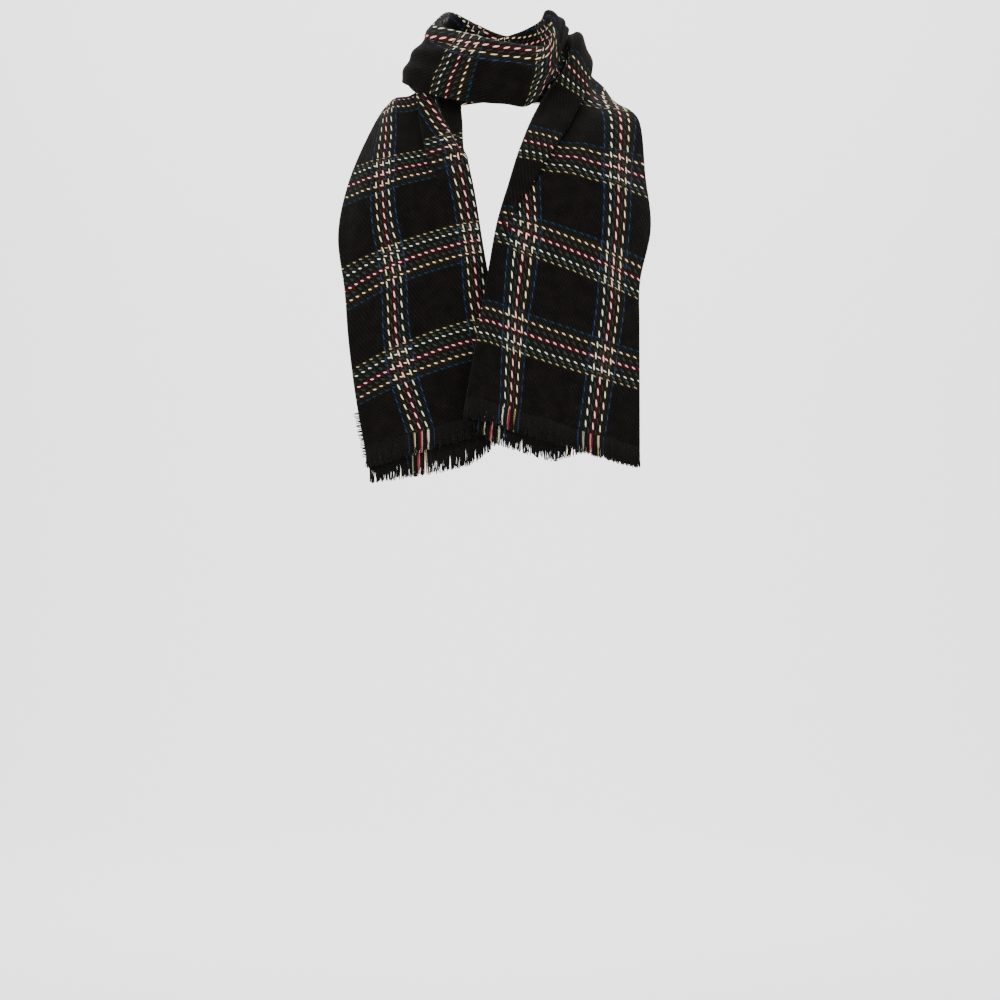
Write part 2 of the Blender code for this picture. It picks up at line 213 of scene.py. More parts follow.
# where in the twill's repeat a float starts, is nearly full, is widest, starts to end and ends
WARP_FLOAT = (0.36, 0.50, 0.66, 0.82, 0.97)
WEFT_FLOAT = (0.01, 0.12, 0.25, 0.38, 0.52)
WARP_LEAN = 1.4            # how far a float leans across its line over one repeat
WEFT_LEAN = 3.0
FLOAT_EDGE = (0.34, 0.56)    # coverage at which a float starts to show and is solid
FLOAT_LEVELS = (0.0, 0.9, 1.0, 0.9, 0.0)
GROUND_FADE = 0.9          # how far a line's ground fades out past its edge
GROUND_FULL = 0.6          # share of a line's ground that has its full colour
# the pleat hides its cloth between these shares of its columns
HIDDEN_FROM = 0.42
HIDDEN_SPAN = 0.16
# share of V's jump at the neck fold, just before and after the pleat, and at the outer fold
JUMP_SHARES = (-0.25, -0.5, 0.5, 0.25)
WANDER = 1.6               # how far the yarns wander from straight
SINGLE_YARN = 1.6          # spacing of single yarns

# --- Creases on the front layer, each a soft line ---
# from (along, share across from the outer fold), to (along, share), half width, height (- a trough)
CREASES = (
    ((30, 0.30), (300, 0.42), 11, 1.6),
    ((10, 0.55), (230, 0.60), 13, -1.7),
    ((60, 0.80), (330, 0.86), 10, 1.4),
    ((200, 0.10), (420, 0.22), 12, 1.8),
    ((240, 0.30), (440, 0.36), 10, -1.6),
    ((300, 0.90), (430, 0.80), 8, 1.2),
    ((500, 0.30), (700, 0.45), 10, 2.0),
    ((560, 0.70), (820, 0.55), 9, -1.8),
    ((930, 0.25), (1100, 0.40), 9, -1.6),
    ((960, 0.60), (1150, 0.70), 8, 1.5),
    ((1180, 0.30), (1420, 0.50), 10, 1.9),
    ((1240, 0.75), (1500, 0.65), 9, -1.7),
    ((1590, 0.20), (1760, 0.30), 12, 1.8),
    ((1640, 0.45), (1850, 0.50), 12, -1.6),
    ((1740, 0.72), (1960, 0.78), 11, 1.5),
    ((1850, 0.28), (2010, 0.22), 12, 1.5),
    ((1880, 0.55), (2015, 0.60), 10, -1.6),
)

CREASE_REACH = 3           # half widths beyond its ends at which a crease stops counting
CREASE_WANDER = 4.0
CREASE_WANDER_RATE = 5.0
CREASE_RUNOUT = 0.08       # share of its length over which a crease runs out past each end
CREASE_TAPER = 0.8

# The left end's front layer rolls under short of its neck fold, near the shoulder.
# along, how far short of the neck fold
ROLL = (
    (305, 0),
    (339, 11),
    (400, 27),
    (430, 32),
    (461, 27),
    (520, 10),
    (560, 0),
)
ROLL_DEPTH = 8.0
ROLL_WIDTH = 4.0
ROLL_SWELL = 1.6
ROLL_SWELL_BACK = 3.5
ROLL_SWELL_WIDTH = 4.5
ROLL_STARTS = 8.0          # inset at which the roll is complete
ROLL_HIDES = 12.0

# --- Fringe ---
STRAND_PITCH = 0.7
STRAND_LENGTH = (23.5, 28.5)
STRAND_RADIUS = (0.95, 0.55)      # at the root and at the tip
CLUMP = 5                         # strands that lean together
LONGER_BEHIND = 10.0              # extra length of the left end's strands behind its neck fold
LONGER_RUNOUT = (2.5, 1.3)        # how that extra length ends towards the front: rate, place
PITCH_SCATTER = 0.3               # share of the pitch
CLUMP_SWAY = 1.4
STRAND_SWAY = 0.8
STRAND_LIFT = (-1.6, 1.8)
STRAND_WAVES = (0.5, 1.3)         # waves along a strand, and their height
STRAND_WAVE = (0.3, 0.9)
ROOT_DEPTH = 1.5                  # how far a strand starts inside the cloth
PLY_TURN = 2.2                    # length of one turn of the ply
DARK_YARNS = ("#11100d", "#0e0d0b", "#16130f", "#10110e")
# offset of a line from its group's red line, half width, and the yarns that hang loose from it
LOOSE_YARNS = (
    (-16.9, 0.8, ("#1c2d42", "#111b2a")),
    (-9.4, 1.7, ("#d8c8a2", "#9c8862", "#3a2a14")),
    (0.0, 1.9, ("#8e333c", "#b8807a", "#5a1420")),
    (9.4, 1.7, ("#cdcab2", "#8e8a72", "#22302a")),
    (16.9, 0.8, ("#1d2f47", "#121d2d")),
)
STRAND_SIDES = 5
STRAND_STEPS = 8
SIDE_FRINGE = (8.0, 84.0, 9.5)    # from and to along the left end's free edge, and strand length
SIDE_SHORTEST = 0.8               # share of that length
SIDE_POINTS = 8
SIDE_DROOP = -0.3
SIDE_PITCH = 1.9


def smooth_track(places, values):
    """Function giving smooth values at any distances along the cloth, straight beyond both ends."""
    places = np.asarray(places, float)
    values = np.asarray(values, float).reshape(len(places), -1)
    steps = np.diff(places)[:, None]
    rates = np.diff(values, axis=0) / steps
    inner = (rates[:-1] * steps[1:] + rates[1:] * steps[:-1]) / (steps[:-1] + steps[1:])
    slopes = np.vstack([rates[:1], inner, rates[-1:]])

    def at(along):
        along = np.asarray(along, float)
        held = np.clip(along, places[0], places[-1])
        i = np.clip(np.searchsorted(places, held, side="right") - 1, 0, len(places) - 2)
        step = steps[i]
        t = (held[..., None] - places[i][..., None]) / step
        start = values[i] * (2 * t ** 3 - 3 * t ** 2 + 1)
        start = start + slopes[i] * step * (t ** 3 - 2 * t ** 2 + t)
        end = values[i + 1] * (3 * t ** 2 - 2 * t ** 3) + slopes[i + 1] * step * (t ** 3 - t ** 2)
        beyond = (along - held)[..., None]
        return start + end + beyond * np.where(beyond < 0, slopes[0], slopes[-1])

    return at


GUIDES = smooth_track(
    [row[0] for row in STATIONS],
    [[*row[1], *row[2], *row[3]] for row in STATIONS],
)


def guides_at(along):
    found = GUIDES(along)
    return found[..., 0:3], found[..., 3:6], found[..., 6:9]


def across(points, s):
    """Quadratic curve through three guide points."""
    a, b, c = points
    s = s[..., None]
    return a * ((1 - s) * (1 - 2 * s)) + b * (4 * s * (1 - s)) + c * (s * (2 * s - 1))


def unit(vectors):
    return vectors / np.linalg.norm(vectors, axis=-1, keepdims=True)


def front_width(along):
    outer, middle, neck = guides_at(along)
    return np.linalg.norm(middle - outer, axis=-1) + np.linalg.norm(neck - middle, axis=-1)


def place(along, x, depth):
    """Points x from the outer fold and depth behind the front layer, and the forward direction."""
    guides = guides_at(along)
    before = guides_at(along - 1)
    after = guides_at(along + 1)
    ahead = [b - a for a, b in zip(before, after)]
    width = front_width(along)
    s = x / width
    held = np.clip(s, 0.0, 1.0)
    sideways = unit(across(guides, held + GUIDE_STEP) - across(guides, held - GUIDE_STEP))
    forward = unit(across(ahead, held))
    outward = unit(np.cross(sideways, forward))
    spot = across(guides, held) + sideways * ((s - held) * width)[..., None]
    return spot - outward * depth[..., None], forward


def smoothstep(t):
    t = np.clip(t, 0.0, 1.0)
    return t * t * (3 - 2 * t)


def column(rows, along, k):
    return float(np.interp(along, [row[0] for row in rows], [row[k] for row in rows]))


def creased(along, x, width):
    """Height of all the creases at one place on the front layer."""
    height = 0.0
    for (start, start_share), (end, end_share), half, tall in CREASES:
        if not start - CREASE_REACH * half < along < end + CREASE_REACH * half:
            continue
        t = (along - start) / (end - start)
        line = (start_share + (end_share - start_share) * t) * width
        line += CREASE_WANDER * math.sin(t * CREASE_WANDER_RATE + start)
        share = min(max((t + CREASE_RUNOUT) / (1 + 2 * CREASE_RUNOUT), 0.0), 1.0)
        taper = math.sin(math.pi * share) ** CREASE_TAPER
        height += tall * taper * math.exp(-(((x - line) / half) ** 2))
    return height


def rolled(along, x, width):
    """How far under the front layer has rolled at x, from 0 to 1."""
    inset = column(ROLL, along, 1)
    turned = float(smoothstep((x - (width - inset)) / ROLL_WIDTH))
    return turned * float(smoothstep(inset / ROLL_STARTS))


def roll_depth(along, x, width):
    """Depth that the roll adds to the front layer at x, with a swell just before it."""
    inset = column(ROLL, along, 1)
    from_swell = (x - (width - inset) + ROLL_SWELL_BACK) / ROLL_SWELL_WIDTH
    swell = ROLL_SWELL * math.exp(-(from_swell ** 2)) * float(smoothstep(inset / ROLL_STARTS))
    return ROLL_DEPTH * rolled(along, x, width) - swell


def section(along):
    """Each column across the folded cloth, from the back layer's free edge, and the front's width.

    A column has x, depth and slip, which is how much of the hem's drop it takes.
    """
    width = float(front_width(np.array(along, float)))
    depth = column(STATIONS, along, 4)
    ridge = column(STATIONS, along, 5)
    pleat_place = column(PLEATS, along, 1)
    lap = column(PLEATS, along, 2)
    rise = PLEAT_RISE * float(smoothstep(lap / PLEAT_FULL_LAP))
    fold = depth / 2
    turn = TURNED_EDGE_DEPTH / 2
    turned_edge = column(EDGES, along, 1)
    inset = column(EDGES, along, 2)
    pleat_start = pleat_place * width - PLEAT_WIDTH / 2
    pleat_end = pleat_start + PLEAT_WIDTH
    swing = math.sin(along / LENGTH * RIDGE_DRIFT * 2 * math.pi)

    def front_depth(x):
        waves = math.sin(2 * math.pi * (RIDGE_COUNT * x / width) + RIDGE_SWING * swing)
        free = math.sin(math.pi * min(max(x / width, 0.0), 1.0))
        sunk = 0.0
        if x < pleat_start:
            sunk = rise * float(smoothstep(1 - (pleat_start - x) / PLEAT_RUNOUT))
        crease = creased(along, x, width) * free ** 0.5
        return ridge * waves * free + sunk - crease + roll_depth(along, x, width)

    def pleat_level(q):
        turns = [float(smoothstep((q - turn) / PLEAT_TURN_SPAN + 0.5)) for turn in PLEAT_TURNS]
        laid = float(smoothstep(lap / PLEAT_LAID_LAP))
        return rise * (1 - laid * sum(turns) / len(turns) - (1 - laid) * float(smoothstep(q)))

    outline = []
    back_end = width - fold

    def add(x, at_depth, round_fold):
        slip = float(smoothstep((round_fold + HEM_DROP_START) / HEM_DROP_SPAN))
        outline.append((x, at_depth, slip))

    for i in range(BACK_STEPS):
        t = i / BACK_STEPS
        x = inset + (back_end - inset) * t
        wave = ridge * math.sin(BACK_RIDGES * math.pi * t) * (1 - t)
        finer = math.sin(BACK_WAVE_TURNS * t + along / BACK_WAVE_LENGTH)
        wave += BACK_WAVE * finer * math.sin(math.pi * t)
        add(x, depth + wave, math.pi * fold + back_end - x)
    for i in range(NECK_FOLD_STEPS):
        turned = math.pi * i / NECK_FOLD_STEPS
        sunk = roll_depth(along, back_end, width) * smoothstep(i / NECK_FOLD_STEPS)
        add(
            back_end + fold * math.sin(turned),
            fold * (1 + math.cos(turned)) + float(sunk),
            fold * (math.pi - turned),
        )
    for i in range(NECK_SIDE_STEPS):
        x = back_end + (pleat_end - back_end) * i / NECK_SIDE_STEPS
        add(x, front_depth(x), x - back_end)
    for i in range(PLEAT_STEPS + 1):
        q = 1 - i / PLEAT_STEPS
        x = pleat_start + PLEAT_WIDTH * q
        doubled = x + lap * math.sin(2 * math.pi * q)
        add(doubled, front_depth(max(x, pleat_start + 0.01)) + pleat_level(q), x - back_end)
    for i in range(1, OUTER_SIDE_STEPS + 1):
        x = pleat_start + (turn - pleat_start) * i / OUTER_SIDE_STEPS
        add(x, front_depth(x), x - back_end)
    for i in range(1, OUTER_FOLD_STEPS + 1):
        turned = math.pi * i / OUTER_FOLD_STEPS
        at_depth = turn * (1 - math.cos(turned)) + front_depth(turn)
        add(turn - turn * math.sin(turned), at_depth, -back_end)
    for i in range(1, TURNED_STEPS + 1):
        x = turn + (turned_edge - turn) * i / TURNED_STEPS
        sunk = rise * float(smoothstep(1 - (pleat_start - x) / PLEAT_RUNOUT))
        add(x, TURNED_EDGE_DEPTH + sunk, -back_end)
    return np.array(outline), width


NECK_COLUMN = BACK_STEPS + NECK_FOLD_STEPS
PLEAT_COLUMN = NECK_COLUMN + NECK_SIDE_STEPS
OUTER_COLUMN = NECK_COLUMN + NECK_SIDE_STEPS + PLEAT_STEPS + OUTER_SIDE_STEPS


def hem_shift(along):
    if along < LENGTH / 2:
        return -LEFT_HEM_DROP * float(smoothstep(1 - along / HEM_DROP_REACH))
    return RIGHT_HEM_DROP * float(smoothstep(1 - (LENGTH - along) / HEM_DROP_REACH))


def cloth_row(along):
    """Points across the cloth in metres, their forward directions, and their U and V in metres."""
    outline, width = section(along)
    x, depth, slip = outline.T
    shift = hem_shift(along)
    if shift > 0:
        slip = slip * smoothstep((x / width - RIGHT_DROP_FROM) / (RIGHT_DROP_TO - RIGHT_DROP_FROM))
    points, forward = place(along + shift * slip, x, depth)
    outer_u, neck_u, ahead, hidden, bend, jump = CHECK(np.array(along, float))
    lengths = np.concatenate([[0.0], np.cumsum(np.hypot(np.diff(x), np.diff(depth)))])
    pleat_share = (np.arange(len(x)) - PLEAT_COLUMN) / PLEAT_STEPS
    through_pleat = np.clip((pleat_share - HIDDEN_FROM) / HIDDEN_SPAN, 0.0, 1.0)
    under = np.array([rolled(along, one, width) for one in x])
    lengths += max(hidden, 0.0) * through_pleat
    pleat_middle = PLEAT_COLUMN + PLEAT_STEPS // 2
    at_neck, at_pleat, at_outer = lengths[[NECK_COLUMN, pleat_middle, OUTER_COLUMN]]
    pleat_u = neck_u + (outer_u - neck_u) * (at_pleat - at_neck) / (at_outer - at_neck) + bend
    front = np.interp(lengths, [at_neck, at_pleat, at_outer], [neck_u, pleat_u, outer_u])
    front = front + ROLL_HIDES * under
    behind = neck_u + ROLL_HIDES * under[NECK_COLUMN] + (at_neck - lengths)
    turned = outer_u + (at_outer - lengths)
    u = np.where(lengths < at_neck, behind, np.where(lengths > at_outer, turned, front))
    shares = np.interp(lengths, [at_neck, at_pleat - 1, at_pleat + 1, at_outer], JUMP_SHARES)
    return points * MM, forward, u * MM, (along + ahead + jump * shares) * MM


CHECK = smooth_track([row[0] for row in CHECK_PINS], [row[1:] for row in CHECK_PINS])


def linear(hex_colour):
    """sRGB hex to linear RGBA."""
    channels = [int(hex_colour[i:i + 2], 16) / 255 for i in (1, 3, 5)]
    return [c / 12.92 if c <= 0.04045 else ((c + 0.055) / 1.055) ** 2.4 for c in channels] + [1.0]


def add_mesh(name, verts, faces, uvs, material):
    """Smooth mesh object with one material and its UV map."""
    mesh = bpy.data.meshes.new(name)
    mesh.from_pydata(verts.tolist(), [], faces.tolist())
    layer = mesh.uv_layers.new(name="cloth")
    layer.data.foreach_set("uv", uvs[faces.ravel()].astype(np.float32).ravel())
    mesh.materials.append(material)
    mesh.shade_smooth()
    made = bpy.data.objects.new(name, mesh)
    bpy.context.scene.collection.objects.link(made)
    return made


def quads(first, across_step, along_step, wide, tall):
    """Quad faces over a grid of wide by tall cells whose corner numbers step as given."""
    i, j = np.meshgrid(np.arange(tall), np.arange(wide), indexing="ij")
    corner = (first + i * along_step + j * across_step).ravel()
    far = corner + along_step
    return np.stack([corner, far, far + across_step, corner + across_step], 1)


def build_cloth(material):
    """The whole folded scarf as one closed shell: outer skin, inner skin and four cut edges."""
    alongs = np.linspace(0.0, LENGTH, ROWS + 1)
    rows = [cloth_row(a) for a in alongs]
    middle = np.array([row[0] for row in rows])
    u = np.array([row[2] for row in rows])
    v = np.array([row[3] for row in rows])
    normal = unit(np.cross(np.gradient(middle, axis=0), np.gradient(middle, axis=1)))
    half = normal * (CLOTH_THICKNESS * MM / 2)
    verts = np.concatenate([(middle + half).reshape(-1, 3), (middle - half).reshape(-1, 3)])
    uvs = np.tile(np.stack([u, v], -1).reshape(-1, 2), (2, 1))
    count = u.shape[1]
    skin = u.size
    outer = quads(0, 1, count, count - 1, ROWS)
    inner = quads(skin, 1, count, count - 1, ROWS)[:, ::-1]
    last_row = ROWS * count
    rim = [
        quads(0, skin, count, 1, ROWS)[:, ::-1],
        quads(count - 1, skin, count, 1, ROWS),
        quads(0, skin, 1, 1, count - 1),
        quads(last_row, skin, 1, 1, count - 1)[:, ::-1],
    ]
    faces = np.concatenate([outer, inner, *rim])
    return add_mesh("scarf_cloth", verts, faces, uvs, material)


def yarn_colour(u_mm, rng):
    """The colour of the warp yarn at a distance across the cloth."""
    offset = (u_mm + WARP_PERIOD / 2) % WARP_PERIOD - WARP_PERIOD / 2
    for line, half, yarns in LOOSE_YARNS:
        if abs(offset - line) < half:
            return linear(rng.choice(yarns))
    return linear(rng.choice(DARK_YARNS))


def build_fringe(
    name, roots, away, u, longer, length, seed, material, droop=0.5, pitch=STRAND_PITCH
):
    """Loose yarns along a cut edge: tapered, wavy tubes closed at both ends, leaning in clumps.

    roots, away, u and longer are the edge's points, the directions away from the cloth, U and the
    extra yarn length there. droop is how far a yarn turns down by its tip.
    """
    rng = random.Random(seed)
    steps = np.linalg.norm(np.diff(roots, axis=0), axis=1)
    lengths = np.concatenate([[0.0], np.cumsum(steps)]) / MM
    count = int(lengths[-1] / pitch)
    verts, faces, uvs, colours = [], [], [], []
    for strand in range(count):
        at = (strand + 0.5 + rng.uniform(-PITCH_SCATTER, PITCH_SCATTER)) * pitch
        root = np.array([np.interp(at, lengths, roots[:, k]) for k in range(3)])
        ahead = unit(np.array([np.interp(at, lengths, away[:, k]) for k in range(3)]))
        colour = yarn_colour(np.interp(at, lengths, u) / MM, rng)
        reach = rng.uniform(*length) + np.interp(at, lengths, longer)
        if strand % CLUMP == 0:
            clump_sway = rng.uniform(-CLUMP_SWAY, CLUMP_SWAY)
        side = unit(np.cross(ahead, [0.0, -1.0, 0.1]))
        front = np.cross(side, ahead)
        sway = clump_sway + rng.uniform(-STRAND_SWAY, STRAND_SWAY)
        lift = rng.uniform(*STRAND_LIFT)
        waves, phase = rng.uniform(*STRAND_WAVES), rng.uniform(0, 2 * math.pi)
        wave = rng.uniform(*STRAND_WAVE)
        first = len(verts)
        for step in range(STRAND_STEPS + 1):
            t = step / STRAND_STEPS
            turned = unit(ahead * (1 - droop * t) + np.array([0.0, 0.0, -1.0]) * droop * t)
            swing = sway * t * t + wave * math.sin(phase + waves * 2 * math.pi * t) * t
            spot = root + (turned * (reach * t - ROOT_DEPTH) + side * swing + front * lift * t * t) * MM
            radius = (STRAND_RADIUS[0] + (STRAND_RADIUS[1] - STRAND_RADIUS[0]) * t) * MM
            for k in range(STRAND_SIDES):
                turn = 2 * math.pi * k / STRAND_SIDES
                verts.append(spot + (side * math.cos(turn) + front * math.sin(turn)) * radius)
                uvs.append((k / STRAND_SIDES, reach * t * MM))
                colours.append(colour)
        for step in range(STRAND_STEPS):
            for k in range(STRAND_SIDES):
                a = first + step * STRAND_SIDES + k
                b = first + step * STRAND_SIDES + (k + 1) % STRAND_SIDES
                faces.append((a, b, b + STRAND_SIDES, a + STRAND_SIDES))
        last = first + STRAND_STEPS * STRAND_SIDES
        for base, flip in ((first, 1), (last, 0)):
            ring = [base + k for k in range(STRAND_SIDES)]
            faces.append(tuple(reversed(ring)) if flip else tuple(ring))
    mesh = bpy.data.meshes.new(name)
    mesh.from_pydata([tuple(p) for p in verts], [], faces)
    layer = mesh.uv_layers.new(name="cloth")
    corners = np.array([loop.vertex_index for loop in mesh.loops])
    layer.data.foreach_set("uv", np.array(uvs)[corners].astype(np.float32).ravel())
    tint = mesh.color_attributes.new("yarn", "FLOAT_COLOR", "POINT")
    tint.data.foreach_set("color", np.array(colours, np.float32).ravel())
    mesh.materials.append(material)
    mesh.shade_smooth()
    made = bpy.data.objects.new(name, mesh)
    bpy.context.scene.collection.objects.link(made)
    return made


def adder(tree):
    """Function that adds a node of any kind with its settings and links, and returns one output."""

    def add(kind, inputs=None, out=0, stops=None, **settings):
        made = tree.nodes.new(kind)
        for key, value in settings.items():
            setattr(made, key, value)
        for key, value in (inputs or {}).items():
            if isinstance(value, bpy.types.NodeSocket):
                tree.links.new(value, made.inputs[key])
            else:
                made.inputs[key].default_value = value
        if stops:
            ramp = made.color_ramp
            for position, _ in stops[2:]:
                ramp.elements.new(position)
            for element, (position, colour) in zip(ramp.elements, stops):
                element.position = position
                element.color = colour
        return made.outputs[out]

    return add


def float_stops(lines, filling, period):
    """Ramp stops for one stripe group's floats: alpha rises to 1 on each line and falls again."""
    stops = []
    for line, half, floats in sorted([row[:3] for row in lines] + list(filling)):
        colour = linear(floats)[:3]
        for offset, alpha in ((-half, 0.0), (0.0, 1.0), (half, 0.0)):
            stops.append((0.5 + (line + offset) / period, (*colour, alpha)))
    return stops


def ground_stops(lines, period):
    """Ramp stops for the cloth under one stripe group: its lines, and a fainter tint between."""
    between = linear(BETWEEN_LINES)[:3]
    stops = []
    for line, _, _, half, ground in lines:
        colour = linear(ground)[:3]
        stops.append((0.5 + (line - half - GROUND_FADE) / period, (*between, BETWEEN_STRENGTH)))
        stops.append((0.5 + (line - half * GROUND_FULL) / period, (*colour, 1.0)))
        stops.append((0.5 + (line + half * GROUND_FULL) / period, (*colour, 1.0)))
        stops.append((0.5 + (line + half + GROUND_FADE) / period, (*between, BETWEEN_STRENGTH)))
    stops[0] = (stops[0][0], (*between, 0.0))
    stops[-1] = (stops[-1][0], (*between, 0.0))
    return stops


def twill_material():
    """Brushed wool twill, woven.

    It gives the eye a matt, near-black ground with faint diagonal ribs and uneven dye, rows of
    raised coloured floats that cross it both ways, and a soft nap over all of it.
    """
    material = bpy.data.materials.new("wool_twill_brushed")
    material.use_nodes = True
    tree = material.node_tree
    add = adder(tree)
    uv = add("ShaderNodeUVMap", uv_map="cloth")
    flat = add("ShaderNodeSeparateXYZ", {0: uv}).node.outputs
    drift = add("ShaderNodeTexNoise", {"Vector": uv, "Scale": 18.0, "Detail": 1.0}, out="Color")
    drifts = add("ShaderNodeSeparateXYZ", {0: drift}).node.outputs
    u, v = [
        add("ShaderNodeMath", {0: drifts[k], 1: WANDER * MM, 2: flat[k]}, operation="MULTIPLY_ADD")
        for k in (0, 1)
    ]
    phase = add("ShaderNodeMath", {0: u, 1: 1000 / FLOAT_ACROSS}, operation="MULTIPLY")
    phase = add("ShaderNodeMath", {0: v, 1: 1000 / FLOAT_ALONG, 2: phase}, operation="MULTIPLY_ADD")
    cycle = add("ShaderNodeMath", {0: phase}, operation="FRACT")

    # a float lies aslant across its line, so the line that it follows leans with the cycle
    lines = []
    weft_shift = 0.5 - WEFT_START / WEFT_PERIOD
    for at, places, lean, rows, filling, period, shift in (
        (u, WARP_FLOAT, WARP_LEAN, WARP_LINES, WARP_FILLING, WARP_PERIOD, 0.5),
        (v, WEFT_FLOAT, WEFT_LEAN, WEFT_LINES, WEFT_FILLING, WEFT_PERIOD, weft_shift),
    ):
        found = add("ShaderNodeMath", {0: cycle, 1: places[2]}, operation="SUBTRACT")
        found = add("ShaderNodeMath", {0: found, 1: lean * MM, 2: at}, operation="MULTIPLY_ADD")
        ramps = []
        for line_at, stops in (
            (found, float_stops(rows, filling, period)),
            (at, ground_stops(rows, period)),
        ):
            group = {0: line_at, 1: 1000 / period, 2: shift}
            group = add("ShaderNodeMath", group, operation="MULTIPLY_ADD")
            line_at = add("ShaderNodeMath", {0: group}, operation="FRACT")
            ramps.append(add("ShaderNodeValToRGB", {0: line_at}, stops=stops).node.outputs)
        floats, under = ramps
        stops = [(place, (level, level, level, 1.0)) for place, level in zip(places, FLOAT_LEVELS)]
        shows = add("ShaderNodeValToRGB", {0: cycle}, stops=stops)
        shows = add("ShaderNodeMath", {0: shows, 1: floats[1]}, operation="MULTIPLY")
        low_edge, high_edge = FLOAT_EDGE
        shows = add("ShaderNodeMapRange", {0: shows, 1: low_edge, 2: high_edge, 3: 0.0, 4: 1.0})
        lines.append((floats, under, shows))

    # ground: faint ribs at a half and a quarter of the floats' spacing, with uneven dye
    mottle = add("ShaderNodeTexNoise", {"Vector": uv, "Scale": 60.0, "Detail": 4.0})
    fibre = add("ShaderNodeTexNoise", {"Vector": uv, "Scale": 900.0, "Detail": 3.0})
    wave, fine = [
        add(
            "ShaderNodeMath",
            {0: add("ShaderNodeMath", {0: phase, 1: turns * math.pi}, operation="MULTIPLY")},
            operation="SINE",
        )
        for turns in (4, 8)
    ]
    rib = add("ShaderNodeMath", {0: fine, 1: 0.09}, operation="MULTIPLY")
    rib = add("ShaderNodeMath", {0: wave, 1: 0.16, 2: rib}, operation="MULTIPLY_ADD")
    tone = add("ShaderNodeMath", {0: fibre, 1: 0.5}, operation="MULTIPLY")
    tone = add("ShaderNodeMath", {0: mottle, 1: 0.6, 2: tone}, operation="MULTIPLY_ADD")
    tone = add("ShaderNodeMath", {0: rib, 1: tone}, operation="ADD")
    colour = add(
        "ShaderNodeValToRGB",
        {0: tone},
        stops=[(0.2, linear("#050504")), (0.55, linear("#0d0b09")), (0.95, linear("#1a1611"))],
    )
    strokes = add("ShaderNodeMapRange", {0: wave, 1: -0.6, 2: 0.8, 3: 0.15, 4: 1.0})
    for _, under, _ in lines:
        share = add("ShaderNodeMath", {0: under[1], 1: strokes}, operation="MULTIPLY")
        colour = add("ShaderNodeMix", {0: share, 6: colour, 7: under[0]}, out=2, data_type="RGBA")
    tints = add("ShaderNodeTexNoise", {"Vector": uv, "Scale": 260.0, "Detail": 2.0}, out="Color")
    flecks = add("ShaderNodeMix", {0: 0.35, 6: (1, 1, 1, 1), 7: tints}, out=2, data_type="RGBA")
    multiply = {"data_type": "RGBA", "blend_type": "MULTIPLY"}
    colour = add("ShaderNodeMix", {0: 1.0, 6: colour, 7: flecks}, out=2, **multiply)
    for floats, _, shows in lines:
        colour = add("ShaderNodeMix", {0: shows, 6: colour, 7: floats[0]}, out=2, data_type="RGBA")
    worn = add("ShaderNodeMath", {0: mottle, 1: 0.4}, operation="MULTIPLY")
    worn = add("ShaderNodeMath", {0: fibre, 1: 0.6, 2: worn}, operation="MULTIPLY_ADD")
    worn = add("ShaderNodeMapRange", {0: worn, 1: 0.3, 2: 0.68, 3: 0.62, 4: 1.08})
    colour = add("ShaderNodeMix", {0: 1.0, 6: colour, 7: worn}, out=2, **multiply)

    # height in millimetres: rib, raised floats, single yarns, nap
    yarn_rate = 2 * math.pi / (SINGLE_YARN * MM)
    yarn_u, yarn_v = [
        add(
            "ShaderNodeMath",
            {0: add("ShaderNodeMath", {0: at, 1: yarn_rate}, operation="MULTIPLY")},
            operation="SINE",
        )
        for at in (u, v)
    ]
    yarns = add("ShaderNodeMath", {0: yarn_u, 1: yarn_v}, operation="ADD")
    yarns = add("ShaderNodeMath", {0: yarns, 1: 0.05}, operation="MULTIPLY")
    raised = add("ShaderNodeMath", {0: lines[0][2], 1: lines[1][2]}, operation="MAXIMUM")
    raised = add("ShaderNodeMath", {0: raised, 1: 0.45}, operation="MULTIPLY")
    height = add("ShaderNodeMath", {0: raised, 1: yarns}, operation="ADD")
    for relief, tall in ((rib, 0.8), (fibre, 0.55), (mottle, 0.5)):
        height = add("ShaderNodeMath", {0: relief, 1: tall, 2: height}, operation="MULTIPLY_ADD")
    bump = add("ShaderNodeBump", {"Height": height, "Distance": MM, "Strength": 0.9})
    shader = tree.nodes["Principled BSDF"]
    tree.links.new(colour, shader.inputs["Base Color"])
    tree.links.new(bump, shader.inputs["Normal"])
    shader.inputs["Roughness"].default_value = 0.95
    shader.inputs["Specular IOR Level"].default_value = 0.06
    shader.inputs["Sheen Weight"].default_value = 0.04
    shader.inputs["Sheen Roughness"].default_value = 0.4
    shader.inputs["Sheen Tint"].default_value = (0.75, 0.72, 0.68, 1.0)
    return material


